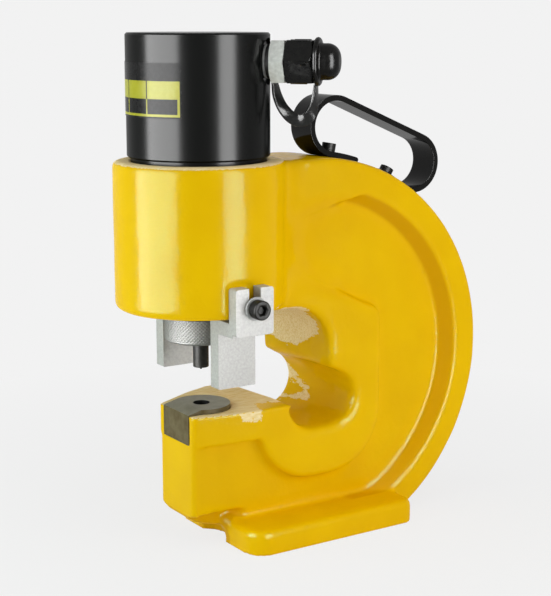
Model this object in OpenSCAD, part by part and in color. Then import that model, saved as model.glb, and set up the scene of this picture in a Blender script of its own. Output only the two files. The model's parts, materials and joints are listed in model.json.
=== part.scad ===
// Hydraulic busbar punch: a cast C frame with a cylinder over a deep throat.
// The punch's axis is upright. +Z is up, the floor is z = 0, and the origin lies on the
// floor under the centre of the frame's round back. The jaw and punch are on the -X side.
// Sizes along X below are measured from the punch's axis, so that they read like a drawing.

/* [Frame casting] */
// Distance from the punch's axis back to the centre of the frame's round back
axis_back = 78.5; // [60:0.5:120]
// Radius of the frame's round back
back_r = 145; // [110:1:200]
// Height of that centre above the floor
back_z = 124; // [90:1:180]
// Width of the frame across its two side faces
frame_w = 64; // [40:1:100]
// Rounding of the frame's outer edges
edge_r = 4; // [1:0.5:8]
// Width of the rim that runs round the pocket in each side
rim_w = 20; // [10:1:40]
// Depth of the pocket in each side
pocket_depth = 11; // [4:0.5:20]
// How far the pocket's outer wall leans in at its foot
wall_lean = 9.5; // [0:0.5:14]

/* [Cylinder barrel] */
// Radius of the barrel that is cast on the frame
barrel_r = 58.5; // [45:0.5:80]
// Height of the barrel's bottom face
barrel_bot = 169.7; // [140:0.1:220]
// Length of the barrel
barrel_len = 100.3; // [70:0.1:140]
// Rounding of the barrel's edges
barrel_edge = 3.5; // [0.5:0.5:6]
// Fillet between the barrel and the frame's side face
blend_r = 16; // [4:1:30]
// Thickness of the wall under the oil chamber
floor_wall = 26.3; // [15:0.1:40]
// Radius of the thread that takes the cup's neck
neck_r = 46; // [42:0.5:52]
// Depth of that thread
neck_depth = 38; // [20:1:60]

/* [Throat] */
// Depth of the throat behind the punch's axis
throat_depth = 110; // [60:1:200]
// Height of the throat's roof
mouth_top = 165.5; // [130:0.5:200]
// Where the roof steps up to the barrel's bottom face
roof_step = 34; // [20:1:60]
// Radius of the upper round of the throat
lobe_r = 31.5; // [20:0.5:45]
// Distance of that round's centre behind the punch's axis
lobe_x = 56.5; // [40:0.5:90]
// Radius of the deep lower round of the throat
deep_r = 20.3; // [12:0.1:30]
// Straight length between the two ends of the lower round
deep_run = 15; // [0:1:40]
// Rounding of the corner where the two rounds meet
cusp_r = 6; // [1:0.5:12]
// Width of the raised border under and behind the throat
border_w = 24.5; // [10:0.5:40]
// How far that border and the jaw stand out past the frame's far side
border_far = 16; // [0:0.5:24]

/* [Lower jaw] */
// Height of the jaw's machined top
jaw_top = 97; // [70:1:140]
// Height of the jaw's underside
jaw_bot = 25; // [15:1:60]
// Distance of the jaw's front face ahead of the punch's axis
jaw_front = 20.5; // [15:0.5:40]
// Width of the jaw at its front face
nose_w = 47; // [30:1:80]
// Width of the jaw's upper part in line with the punch's back
mid_w = 60; // [40:1:90]
// Distance of that width behind the punch's axis
mid_x = 10; // [0:1:30]
// How much wider the jaw's far side is there
mid_far = 10; // [0:0.5:20]
// Rounding of the jaw's upright front edges
nose_r = 3; // [1:0.5:8]
// Depth of the jaw's upper part, above the pocket
jaw_band = 21.5; // [10:0.5:40]
// Radius of the belly under the jaw
belly_r = 42; // [30:1:60]
// Width of the belly
belly_w = 40; // [25:1:60]

/* [Foot] */
// Length of the foot
foot_len = 139; // [100:1:220]
// Width of the foot
foot_w = 111; // [80:1:160]
// Thickness of the foot
foot_h = 17; // [8:1:30]
// Distance of the foot's front end behind the punch's axis
foot_x = 9.5; // [0:0.5:40]
// Corner radius at the foot's front
foot_front_r = 14; // [4:1:30]
// Corner radius at the foot's back
foot_back_r = 8.5; // [4:0.5:30]
// Rounding of the foot's top edge
foot_edge = 4; // [1:0.5:8]
// Radius of the notch in the foot's front, round the punch's axis
foot_notch_r = 18; // [10:0.5:24]

/* [Punch and die] */
// Diameter of the punch
punch_d = 11; // [4:0.5:25]
// Clearance between the punch and the die, on the radius
die_clear = 0.3; // [0.1:0.05:0.8]
// Radius of the die's round body
die_r = 20.2; // [14:0.1:30]
// Height of the die
die_h = 24; // [12:1:40]
// How far the die stands above the jaw's top
die_proud = 3; // [0:0.5:6]
// Width of the die's square tongue
tongue_w = 35; // [20:1:50]
// Radius of the hole that lets the slug drop
slug_r = 8; // [6:0.5:16]
// Stroke of the ram
stroke = 28; // [10:1:60]
// How far the punch enters the die at the end of the stroke
bite = 2; // [0.5:0.5:5]
// Length of the punch below the nut
punch_reach = 20; // [10:1:40]
// Diameter of the knurled nut
nut_d = 50; // [30:1:70]
// Height of the knurled nut
nut_h = 18; // [10:1:30]
// Diameter of the ram's rod
rod_d = 50; // [30:1:60]

/* [Cylinder cup] */
// Radius of the cup
cup_r = 48.5; // [40:0.5:70]
// Height of the cup above the gap over the barrel
cup_h = 82.4; // [60:0.1:120]
// Gap between the barrel and the cup
cup_gap = 2.4; // [1:0.1:6]
// Thickness of the cup's top
cup_lid = 11.8; // [6:0.1:25]
// Radius of the bore that the piston runs in
bore_r = 40; // [30:0.5:55]
// Height of the piston
piston_h = 28; // [15:1:45]
// Diameter of the return spring's wire
wire_d = 8; // [4:0.5:10]
// Number of the return spring's curls
spring_turns = 8; // [5:1:12]

/* [Strippers] */
// Width of each stripper
strip_w = 29; // [20:1:50]
// How far the strippers sit behind the punch's axis
strip_x = 3; // [0:0.5:8]
// Thickness of the fork plate that is bolted to the barrel
fork_t = 9; // [5:0.5:14]
// Height of the fork plate
fork_h = 31.5; // [20:0.5:50]
// Width of the fork's slot
slot_w = 9; // [6:0.5:12]
// Distance of the lower plate's inner face from the punch's axis
leg_y = 33; // [26:0.5:50]
// Thickness of the lower plate
leg_t = 10.2; // [5:0.1:16]
// Height of the lower plate's end above the floor
leg_bot = 120; // [105:1:150]
// How far each stripper slides down when its screw is slack
strip_down = 8; // [2:0.5:15]

/* [Handle] */
// Width of the handle's strap
strap_w = 25; // [15:1:40]
// Thickness of the handle's strap
strap_t = 4; // [2:0.5:8]
// Radius of the two round ends, to the middle of the strap
bow_r = 20; // [12:0.5:30]
// Angle from upright where the front foot turns up into the bow
front_turn = 9.2; // [5:0.1:20]
// Angle from upright of the front foot's tip
front_tip = 17.6; // [12:0.1:25]
// Angle from upright of the back foot's tip
back_tip = 27.5; // [22:0.1:32]
// Angle from upright where the back foot turns up into the bow
back_turn = 36; // [32:0.1:50]

/* [Hose coupling] */
// Depth of the hose port's axis below the cup's top
port_z = 18.8; // [8:0.1:58]
// Angle of the port round the cup, from the frame's back towards the near side
port_turn = 45; // [0:1:90]
// Size across the flats of the silver hexagon
hex_af = 27.5; // [20:0.5:36]
// Length of the silver hexagon
hex_len = 10; // [6:0.5:20]
// Size across the flats of the black sleeve
sleeve_af = 28; // [20:0.5:40]
// Length of the black sleeve
sleeve_len = 18.6; // [10:0.1:30]
// Radius of the dust cap's flange
flange_r = 16; // [12:0.5:20]
// Radius of the dust cap's dome
dome_r = 12; // [8:0.1:16]
// Length of the dust cap's dome
dome_len = 13; // [8:0.5:24]
// Width of the tether's strap
tether_w = 8.5; // [4:0.5:14]

/* [Data plate] */
// Height of the plate's lower edge above the cup's lower edge
plate_z = 28.1; // [2:0.1:42]
// Height of the plate
plate_h = 35.5; // [20:0.5:60]
// Angle that the plate spans round the cup
plate_span = 91.7; // [30:0.1:150]
// Angle of the plate's middle, turned from the frame's back
plate_turn = 181.4; // [150:0.1:210]
// Thickness of the plate
plate_t = 0.3; // [0.2:0.1:1]

/* [Hidden] */
$fn = 96;
over = 1;                  // how far every cut runs past the face it opens
lap = 0.25;                // how far a fillet's body laps past the face that it meets
seat = 0.02;               // gap at faces that are pressed or screwed together
run_fit = 0.05;            // radial gap of parts that run in a bore
slide_gap = 0.3;           // gap at flat faces that slide on each other

half_w = frame_w / 2;
web_w = frame_w - 2 * pocket_depth;
pocket_r = back_r - rim_w;
roof_z = back_z + back_r;
barrel_top = barrel_bot + barrel_len;
chamber_z = barrel_bot + floor_wall;
ledge_z = barrel_top - neck_depth;

// throat
lobe_z = mouth_top - lobe_r;
deep_x2 = throat_depth - deep_r;
deep_x1 = deep_x2 - deep_run;
deep_top = jaw_top + deep_r;
wall_x = lobe_x + lobe_r;
cusp_lap_share = 0.25;      // how far that corner's cut laps the lower round, of its radius

// raised border round the throat
border_drop = 12.18;       // depth of the border's round centre below the jaw's top
border_rise = 23.5;        // height of the border's top over the throat's roof
border_step = 8.5;         // how far that top starts behind the barrel
border_slope_share = 0.49; // height that the border's top loses for each length along it
plate_inset = 6.5;
plate_edge_drop = 45;      // depths of the plate's two corners below the frame's flat top
plate_end_drop = 27;
border_r = deep_r + border_w;
border_z = jaw_top - border_drop;
border_x = throat_depth + border_w;
border_corner = 12;
border_top_x = barrel_r + border_step;     // where the border's sloping top meets the plate
border_top_z = mouth_top + border_rise;
plate_edge_x = barrel_r - plate_inset;     // where the plate beside the barrel sinks to the web
plate_edge_z = roof_z - plate_edge_drop;
plate_end_x = 118;         // where the plate's lower line runs into the rim
plate_end_z = roof_z - plate_end_drop;

// jaw
full_x = 31;               // where the jaw reaches the frame's full width
belly_x = 12;
belly_up = 24;             // height of the belly's centre over the jaw's underside
belly_z = jaw_bot + belly_up;
sink_x = 0;                // where the jaw's lower side has sunk to the web

// punch and die
die_top = jaw_top + die_proud;
die_bot = die_top - die_h;
die_hole_r = punch_d / 2 + die_clear;
die_land = 8;              // depth of the hole's cutting part
relief_gap = 1.08;         // how much wider the hole is below its cutting part
relief_r = die_hole_r + relief_gap;
die_slope = 2.5;           // how far the tongue falls towards the front
punch_tip = die_top + stroke - bite;
nub = 2;
nub_r = 1.4;
punch_head_r = punch_d;
punch_head_h = 6;
nut_bot = punch_tip + punch_reach;
nut_top = nut_bot + nut_h;
nut_floor = 4;
nut_bevel = 1.2;
stub_r = 18;
rod_r = rod_d / 2;
set_r = 3;
set_len = 8;
set_key_r = 1.6;
set_drop = 12;             // depth of the set screw below the jaw's top

// cup, piston and seals
cup_bot = barrel_top + cup_gap;
cup_top = cup_bot + cup_h;
cup_bevel = 1.2;
cup_ceiling = cup_top - cup_lid;
oil_r = 30;                // radius of the oil space over the piston
oil_h = 16;
rest_gap = 0.3;
piston_top = cup_ceiling - oil_h - rest_gap;
piston_bot = piston_top - piston_h;
piston_r = bore_r - run_fit;
groove_r = bore_r - 5;
wear_r = bore_r - 2.6;
seal_h = 6;
seal_z = piston_top - 14;
backup_h = 2;
wear_h = 5;
wear_z = piston_bot + 4;
o_ring_r = 1.5;
bush_r = rod_r + 4;
bush_shoulder = 0.2;       // metal left between the bush's seat and the wiper's groove
wiper_r = rod_r + 5.5;
wiper_h = 3.6;
wiper_lip = 0.5;           // recess of the wiper above the barrel's bottom face
bush_h = floor_wall - wiper_lip - wiper_h - bush_shoulder;
spring_seat_h = 2;
spring_bot = chamber_z + spring_seat_h + rest_gap;
spring_top = piston_bot - rest_gap;
wire_r = wire_d / 2;
spring_r = (rod_r + bore_r) / 2;
spring_pitch = (spring_top - spring_bot - wire_d) / spring_turns;
curl_rings = 8;
curl_sides = 6;

// strippers and their screws
flat_cut = 1.8;            // depth of the barrel's flats, under the fork plates
flat_y = barrel_r - flat_cut;
fork_y = flat_y + slide_gap;
fork_drop = 9.7;           // how far the fork plate hangs below the barrel's bottom face
fork_bot = barrel_bot - fork_drop;
fork_top = fork_bot + fork_h;
fork_corner = 2;
shelf_t = 9.5;
shelf_gap = 1.7;           // gap between the shelf and the barrel's bottom face
shelf_bot = barrel_bot - shelf_gap - shelf_t;
slot_lip = 5.5;            // height of the fork over the screw when the stripper is down
strip_screw_z = fork_top - strip_down - slot_lip;
slot_ease = 1.2;           // how far the slot's round end lies below the screw
slot_z = strip_screw_z - slot_ease;
flat_rise = 3;             // free height of the flats over the forks
m8_r = 4;
m8_head_r = 6.5;
m8_head_h = 8;
m8_key_r = 3.46;
m8_len = 22;
strip_washer_r = 8;
strip_washer_t = 1.6;
washer_y = fork_y + fork_t + slide_gap;

// handle
strap_r = back_r + seat + strap_t / 2;
front_c = bow_centre(front_turn);
back_c = bow_centre(back_turn);
bow_line = atan2(back_c[1] - front_c[1], back_c[0] - front_c[0]);
m6_r = 3;
m6_head_r = 5;
m6_head_h = 6;
m6_key_r = 2.9;
m6_len = 16;
front_screw = 11;          // angle of the front screw from upright
back_screw = 32;           // angle of the back screw from upright
foot_steps = 8;            // number of straight pieces in each foot of the strap
bow_steps = 32;            // number of straight pieces in each bow of the strap
tip_steps = 8;             // number of straight pieces round each tip of the strap

// hose coupling, as distances from the punch's axis
port_axis_z = cup_top - port_z;
spot_depth = 2.5;          // depth of the port's flat face in the cup's side
spot_d = cup_r - spot_depth;
spot_r = 15.5;
seal_t = 2;
seal_r = 11;
neck_d = spot_d + seal_t;
root_r = 9;
root_len = 3;
hex_d = neck_d + root_len;
sleeve_d = hex_d + hex_len;
flange_d = sleeve_d + sleeve_len;
flange_t = 4;
nipple_r = 8.5;
nipple_len = 12;
port_thread_r = 8;
port_stem = 10;
port_hole_r = 4;
stem_bore_r = 3;
valve_bore_r = 6;
poppet_r = 4.2;
poppet_len = 10;
poppet_stem_r = 1.8;
poppet_wire = 1.2;
poppet_turns = 5;
sleeve_bar = 1;            // height of the raised bars on the sleeve's corners
bar_share = 0.2;           // share of the sleeve's length that is plain before each bar
hex_bevel_share = 0.08;    // share of a hexagon's length that each chamfer takes
thread_len = sleeve_len / 3;
valve_share = 0.7;         // share of the nipple's length that the valve's room takes
stem_share = 0.25;         // share of the nipple's length that the poppet's stem takes
valve_d = flange_d + nipple_len * valve_share;
cap_round = 8.5;           // rounding of the dust cap's end
tether_t = 2;
tether_ring = 2;
tether_bow = 10;           // radius of the tether's lowest bend
tether_gap = 0.4;
tether_low = 30;           // depth of that bend's centre below the port's axis

plate_start = plate_turn - plate_span / 2;

// Paint and metal colours
yellow = [0.88, 0.68, 0.02];
black = [0.08, 0.08, 0.08];
dark_steel = [0.36, 0.34, 0.31];
steel = [0.72, 0.73, 0.71];
cast_silver = [0.80, 0.80, 0.77];
bronze = [0.72, 0.52, 0.25];
rubber = [0.05, 0.05, 0.05];

// Helpers

// Carries children from the punch's axis to their place in the part's frame.
module at_axis() translate([-axis_back, 0, 0]) children();

// Extrudes a side outline, drawn in X and Z, to the width w about the middle plane.
module side(w) rotate([90, 0, 0]) linear_extrude(height = w, center = true) children();

// A flat rectangle w by h about its centre, with corners of radius r.
module round_rect(w, h, r) {
    square([w - 2 * r, h], center = true);
    square([w, h - 2 * r], center = true);
    for (x = [-1, 1], y = [-1, 1])
        translate([x * (w / 2 - r), y * (h / 2 - r)]) circle(r);
}

module ring(r_out, r_in, h) difference() {
    cylinder(r = r_out, h = h);
    translate([0, 0, -over]) cylinder(r = r_in, h = h + 2 * over);
}

// A socket head screw that points down, with the underside of its head at z = 0.
module socket_screw(r, len, head_r, head_h, key_r) difference() {
    union() {
        translate([0, 0, -len]) cylinder(r = r, h = len + over / 2);
        cylinder(r = head_r, h = head_h);
    }
    translate([0, 0, head_h / 2]) cylinder(r = key_r, h = head_h, $fn = 6);
}

// A hexagon bar of a given size across its flats, with chamfered corners.
module hex_bar(af, len) intersection() {
    bevel = len * hex_bevel_share;
    rotate([0, 0, 30]) cylinder(r = af / sqrt(3), h = len, $fn = 6);
    union() {
        cylinder(r1 = af / 2, r2 = af / sqrt(3), h = bevel);
        translate([0, 0, bevel]) cylinder(r = af / sqrt(3), h = len - 2 * bevel);
        translate([0, 0, len - bevel]) cylinder(r1 = af / sqrt(3), r2 = af / 2, h = bevel);
    }
}

// One unbroken tube that winds about +Z.
module coil(r, wire, pitch, turns) {
    rings = turns * curl_rings;
    points = [for (i = [0 : rings], j = [0 : curl_sides - 1])
        let (a = 360 * i / curl_rings, b = 360 * j / curl_sides, d = r + wire * cos(b))
        [d * cos(a), d * sin(a), wire + pitch * i / curl_rings + wire * sin(b)]];
    walls = [for (i = [0 : rings - 1], j = [0 : curl_sides - 1], k = [0, 1])
        let (a = i * curl_sides + j, b = i * curl_sides + (j + 1) % curl_sides,
            c = a + curl_sides, d = b + curl_sides)
        k == 0 ? [a, c, b] : [b, c, d]];
    ends = [[for (j = [0 : curl_sides - 1]) j],
        [for (j = [curl_sides - 1 : -1 : 0]) rings * curl_sides + j]];
    polyhedron(points, concat(walls, ends), convexity = turns);
}

// Frame

// The throat, open to the front, as it is seen from the side.
module throat_outline() {
    translate([-jaw_front - over, jaw_top])
        square([jaw_front + over + lobe_x, mouth_top - jaw_top]);
    translate([-jaw_front - over, jaw_top])
        square([jaw_front + over + roof_step, barrel_bot - jaw_top]);
    translate([lobe_x, lobe_z]) circle(lobe_r);
    translate([lobe_x, jaw_top]) square([lobe_r, lobe_z - jaw_top]);
    for (x = [deep_x1, deep_x2]) translate([x, jaw_top]) circle(deep_r);
    translate([deep_x1, jaw_top - deep_r]) square([deep_x2 - deep_x1, 2 * deep_r]);
    // the rounded corner where the two rounds meet
    difference() {
        translate([wall_x, deep_top - cusp_r * cusp_lap_share])
            square([cusp_r, cusp_r * (1 + cusp_lap_share)]);
        translate([wall_x + cusp_r, deep_top + cusp_r]) circle(cusp_r);
    }
}

// The raised border behind and under the throat.
module border_outline() {
    low_x = border_x - border_r;
    for (x = [deep_x1, low_x]) translate([x, border_z]) circle(border_r);
    translate([deep_x1, border_z - border_r]) square([low_x - deep_x1, border_r]);
    polygon([
        [0, jaw_top - jaw_band], [deep_x1, jaw_top - jaw_band],
        [deep_x1, border_z], [border_x, border_z],
        [border_x, border_slope(border_x - border_corner) - border_corner / 2],
        [border_x - border_corner / 2, border_slope(border_x - border_corner / 2)
            - border_corner / 4],
        [border_x - border_corner, border_slope(border_x - border_corner)],
        [border_top_x, border_top_z], [0, border_top_z]]);
    translate([border_x - border_corner,
        border_slope(border_x - border_corner) - border_corner]) circle(border_corner);
}

function border_slope(x) = border_top_z - (x - border_top_x) * border_slope_share;

// The plate beside the barrel that keeps the frame's full width.
module barrel_plate_outline() polygon([
    [0, mouth_top], [border_top_x, mouth_top], [border_top_x, border_top_z],
    [plate_edge_x, plate_edge_z], [plate_end_x, plate_end_z],
    [plate_end_x, roof_z], [0, roof_z]]);

// The whole side outline of the frame behind the jaw's front.
module frame_outline() {
    intersection() {
        translate([axis_back, back_z]) circle(back_r);
        translate([full_x, 0]) square([axis_back + back_r, roof_z]);
    }
    translate([0, mouth_top]) square([axis_back, roof_z - mouth_top]);
}

// The frame's round back and flat top with rounded edges, as an envelope.
module edge_envelope() {
    translate([axis_back, 0, back_z]) rotate([90, 0, 0]) rotate_extrude() intersection() {
        round_rect(2 * back_r, frame_w, edge_r);
        translate([0, -frame_w]) square([back_r, 2 * frame_w]);
    }
    translate([0, 0, roof_z / 2]) rotate([90, 0, 90])
        linear_extrude(height = axis_back) round_rect(frame_w, roof_z, edge_r);
}

// Rim, border and barrel plate, at the frame's full width.
module wide_parts() intersection() {
    side(frame_w) difference() {
        frame_outline();
        difference() {
            translate([axis_back, back_z]) circle(pocket_r);
            border_outline();
            barrel_plate_outline();
        }
        throat_outline();
    }
    edge_envelope();
}

// The border's and the jaw's far side, thicker than the frame.
module far_border() translate([0, half_w + (border_far - over) / 2, 0])
    side(border_far + over) difference() {
        intersection() {
            border_outline();
            translate([full_x - over, 0]) square([back_r, roof_z]);
        }
        throat_outline();
    }

// The leaning outer wall of the two side pockets.
module pocket_wall() intersection() {
    translate([axis_back, 0, back_z]) rotate([90, 0, 0]) rotate_extrude()
        polygon([[pocket_r + over, -half_w], [pocket_r, -half_w],
            [pocket_r - wall_lean, -web_w / 2], [pocket_r - wall_lean, web_w / 2],
            [pocket_r, half_w], [pocket_r + over, half_w]]);
    side(frame_w) difference() {
        translate([axis_back, 0]) square([back_r, roof_z]);
        throat_outline();
    }
}

module web() side(web_w) difference() {
    union() {
        frame_outline();
        translate([-jaw_front + nose_r, jaw_bot]) square([full_x + jaw_front, jaw_top - jaw_bot]);
        intersection() {
            translate([belly_x, belly_z]) circle(belly_r);
            translate([sink_x, 0]) square([full_x + over, jaw_bot]);
        }
    }
    throat_outline();
}

// Half of the jaw seen from above: reach wide at x, with a round front edge.
module jaw_half(x, reach, full) {
    turn = atan((reach - nose_w / 2) / (x + jaw_front));
    edge_y = nose_w / 2 + nose_r * tan(turn) - nose_r / cos(turn);
    translate([nose_r - jaw_front, edge_y]) circle(nose_r);
    polygon([[-jaw_front, -over], [-jaw_front, edge_y],
        [nose_r - jaw_front, edge_y],
        [nose_r - jaw_front - nose_r * sin(turn), edge_y + nose_r * cos(turn)],
        [x, reach], [full_x, full], [full_x, -over]]);
}

module jaw_nose() {
    translate([0, 0, jaw_top - jaw_band]) linear_extrude(height = jaw_band) {
        mirror([0, 1]) jaw_half(mid_x, mid_w / 2, half_w);
        jaw_half(mid_x, mid_w / 2 + mid_far, half_w + border_far);
    }
    translate([0, 0, jaw_bot]) linear_extrude(height = jaw_top - jaw_band - jaw_bot)
        for (m = [0, 1]) mirror([0, m]) jaw_half(sink_x, web_w / 2, web_w / 2);
    // the belly
    side(belly_w) intersection() {
        translate([belly_x, belly_z]) circle(belly_r);
        translate([-jaw_front, 0]) square([jaw_front + full_x, jaw_bot + over]);
    }
}

// The foot plate with its rounded top edge.
module foot() difference() {
    foot_plate();
    translate([0, 0, -over]) cylinder(r = foot_notch_r, h = foot_h + 2 * over);
}

module foot_plate() {
    flat = foot_h - foot_edge;
    corners = [[foot_x + foot_front_r, foot_front_r], [foot_x + foot_len - foot_back_r, foot_back_r]];
    for (m = [0, 1]) mirror([0, m, 0]) {
        for (c = corners) translate([c[0], foot_w / 2 - c[1], 0]) {
            cylinder(r = c[1], h = flat);
            cylinder(r = c[1] - foot_edge, h = foot_h);
            translate([0, 0, flat]) rotate_extrude() intersection() {
                translate([c[1] - foot_edge, 0]) circle(foot_edge);
                square([c[1], foot_edge]);
            }
        }
        // long side
        translate([corners[0][0], 0, 0]) rotate([90, 0, 90])
            linear_extrude(height = corners[1][0] - corners[0][0]) foot_section(foot_w / 2);
        // front end and back end
        translate([corners[0][0], foot_w / 2 - corners[0][1], 0]) rotate([90, 0, 0])
            linear_extrude(height = foot_w / 2 - corners[0][1])
            mirror([1, 0]) foot_section(foot_front_r);
        translate([corners[1][0], foot_w / 2 - corners[1][1], 0]) rotate([90, 0, 0])
            linear_extrude(height = foot_w / 2 - corners[1][1]) foot_section(foot_back_r);
    }
}

// The foot's edge in section: reach long, with a round top corner.
module foot_section(reach) {
    square([reach, foot_h - foot_edge]);
    square([reach - foot_edge, foot_h]);
    translate([reach - foot_edge, foot_h - foot_edge]) circle(foot_edge);
}

module barrel() {
    translate([0, 0, barrel_bot]) rotate_extrude() intersection() {
        translate([0, barrel_len / 2]) round_rect(2 * barrel_r, barrel_len, barrel_edge);
        square([barrel_r, barrel_len]);
    }
    // fillets to the frame's side faces
    far = barrel_r + blend_r;
    cx = sqrt(far * far - (half_w + blend_r) * (half_w + blend_r));
    translate([0, 0, barrel_bot + barrel_edge])
        linear_extrude(height = roof_z - barrel_bot - 2 * barrel_edge) difference() {
            polygon([[0, 0], [cx, half_w], [cx, half_w + lap],
                [cx * barrel_r / far, (half_w + blend_r) * barrel_r / far],
                [-cx * barrel_r / far, 0],
                [cx * barrel_r / far, -(half_w + blend_r) * barrel_r / far],
                [cx, -half_w - lap], [cx, -half_w]]);
            for (s = [-1, 1]) translate([cx, s * (half_w + blend_r)]) circle(blend_r);
        }
}

module die_pocket(gap) {
    translate([0, 0, die_bot - gap]) cylinder(r = die_r + gap, h = die_h + gap + over);
    translate([-jaw_front - over, -tongue_w / 2 - gap, die_bot - gap])
        cube([jaw_front + over, tongue_w + 2 * gap, die_h + gap + over]);
}

module c_frame() color(yellow) at_axis() difference() {
    union() {
        wide_parts();
        far_border();
        pocket_wall();
        web();
        jaw_nose();
        foot();
        barrel();
    }
    // cylinder bore, neck thread, oil chamber, bush and wiper seats
    translate([0, 0, chamber_z]) cylinder(r = bore_r, h = barrel_len);
    translate([0, 0, ledge_z]) cylinder(r = neck_r, h = neck_depth + cup_gap);
    // room round the cup, where the frame's top stands above the barrel
    translate([0, 0, barrel_top + cup_gap / 2]) cylinder(r = cup_r + cup_gap, h = cup_h);
    translate([0, 0, chamber_z - bush_h]) cylinder(r = bush_r, h = bush_h + over);
    translate([0, 0, barrel_bot + wiper_lip]) cylinder(r = wiper_r, h = wiper_h + seat);
    translate([0, 0, barrel_bot - over])
        cylinder(r = rod_r + slide_gap, h = floor_wall + over);
    // flats and threads for the strippers
    for (m = [0, 1]) mirror([0, m, 0]) {
        translate([strip_x - strip_w, flat_y, barrel_bot - over])
            cube([2 * strip_w, barrel_r, fork_top + flat_rise - barrel_bot + over]);
        translate([strip_x, 0, strip_screw_z]) rotate([-90, 0, 0])
            translate([0, 0, washer_y + strip_washer_t - m8_len - over])
            cylinder(r = m8_r + seat, h = m8_len);
    }
    // die seat, slug hole and the die's set screw
    die_pocket(seat);
    cylinder(r = slug_r, h = die_bot);
    translate([0, die_r, jaw_top - set_drop]) rotate([-90, 0, 0])
        cylinder(r = set_r + seat, h = half_w);
    // threads for the handle's screws
    for (a = [front_screw, back_screw]) on_back(a, 0)
        translate([0, 0, -m6_len]) cylinder(r = m6_r + seat, h = m6_len + over);
}

// Cup, label, ram and seals

module cylinder_cup() color(black) at_axis() difference() {
    union() {
        translate([0, 0, ledge_z + seat]) cylinder(r = neck_r - seat, h = cup_bot - ledge_z);
        translate([0, 0, cup_bot]) cylinder(r1 = cup_r - cup_bevel, r2 = cup_r, h = cup_bevel);
        translate([0, 0, cup_bot + cup_bevel]) cylinder(r = cup_r, h = cup_h - 2 * cup_bevel);
        translate([0, 0, cup_top - cup_bevel])
            cylinder(r1 = cup_r, r2 = cup_r - cup_bevel, h = cup_bevel);
    }
    translate([0, 0, ledge_z - over]) cylinder(r = bore_r, h = piston_top + rest_gap - ledge_z + over);
    translate([0, 0, piston_top]) cylinder(r = oil_r, h = cup_ceiling - piston_top);
    // groove for the ring that seals the neck
    translate([0, 0, ledge_z]) difference() {
        cylinder(r = neck_r + over, h = 2 * o_ring_r + over / 2);
        translate([0, 0, -over]) cylinder(r = neck_r - 2 * o_ring_r, h = 2 * o_ring_r + 2 * over);
    }
    // hose port: seat face, thread and oil hole
    on_port(spot_d) cylinder(r = spot_r, h = cup_r);
    on_port(spot_d - port_stem) cylinder(r = port_thread_r + seat, h = port_stem + over);
    on_port(oil_r - over) cylinder(r = port_hole_r, h = spot_d - oil_r);
}

module cup_o_ring() color(rubber) at_axis() translate([0, 0, ledge_z + o_ring_r + 2 * seat])
    rotate_extrude() translate([neck_r - o_ring_r - seat, 0]) circle(o_ring_r - 2 * seat, $fn = 24);

// A bare plate: its frame and columns are only paint.
module data_plate() color([0.75, 0.62, 0.12]) at_axis() translate([0, 0, cup_bot + plate_z])
    rotate([0, 0, plate_start]) rotate_extrude(angle = plate_span)
    translate([cup_r + seat, 0]) square([plate_t, plate_h]);

module ram() color(steel) at_axis() difference() {
    union() {
        translate([0, 0, piston_bot]) cylinder(r = piston_r, h = piston_h);
        translate([0, 0, nut_top]) cylinder(r = rod_r, h = piston_bot - nut_top + over);
        translate([0, 0, nut_bot + nut_floor + punch_head_h])
            cylinder(r = stub_r - seat, h = nut_h);
    }
    translate([0, 0, seal_z]) groove_cut(groove_r, seal_h + backup_h);
    translate([0, 0, wear_z]) groove_cut(wear_r, wear_h);
}

module groove_cut(r, h) difference() {
    cylinder(r = bore_r + over, h = h);
    translate([0, 0, -over]) cylinder(r = r, h = h + 2 * over);
}

module piston_seal() color(rubber) at_axis() translate([0, 0, seal_z + backup_h + seat])
    ring(bore_r - run_fit, groove_r + seat, seal_h - 2 * seat);

module piston_backup_ring() color([0.9, 0.88, 0.8]) at_axis() translate([0, 0, seal_z + seat])
    ring(bore_r - run_fit, groove_r + seat, backup_h - 2 * seat);

module piston_wear_ring() color(bronze) at_axis() translate([0, 0, wear_z + seat])
    ring(bore_r - run_fit, wear_r + seat, wear_h - 2 * seat);

module return_spring() color(dark_steel) at_axis() translate([0, 0, spring_bot]) {
    echo("return spring, gap between curls", spring_pitch - wire_d);
    coil(spring_r, wire_r, spring_pitch, spring_turns);
}

module spring_seat_washer() color(steel) at_axis() translate([0, 0, chamber_z + seat])
    ring(bore_r - slide_gap, rod_r + slide_gap * 3, spring_seat_h - seat);

module guide_bush() color(bronze) at_axis() translate([0, 0, chamber_z - bush_h + wiper_h / 2])
    ring(bush_r - seat, rod_r + run_fit, bush_h - wiper_h / 2);

module rod_wiper() color(rubber) at_axis() translate([0, 0, barrel_bot + wiper_lip + seat])
    ring(wiper_r - seat, rod_r + run_fit, wiper_h - 2 * seat);

// Punch, nut and die

module punch_nut() color(steel) at_axis() difference() {
    union() {
        translate([0, 0, nut_bot])
            cylinder(r1 = nut_d / 2 - nut_bevel, r2 = nut_d / 2, h = nut_bevel);
        translate([0, 0, nut_bot + nut_bevel]) cylinder(r = nut_d / 2, h = nut_h - 2 * nut_bevel);
        translate([0, 0, nut_top - nut_bevel])
            cylinder(r1 = nut_d / 2, r2 = nut_d / 2 - nut_bevel, h = nut_bevel - seat);
    }
    translate([0, 0, nut_bot + nut_floor]) cylinder(r = stub_r, h = nut_h);
    translate([0, 0, nut_bot - over]) cylinder(r = punch_d / 2 + slide_gap, h = nut_h);
}

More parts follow.
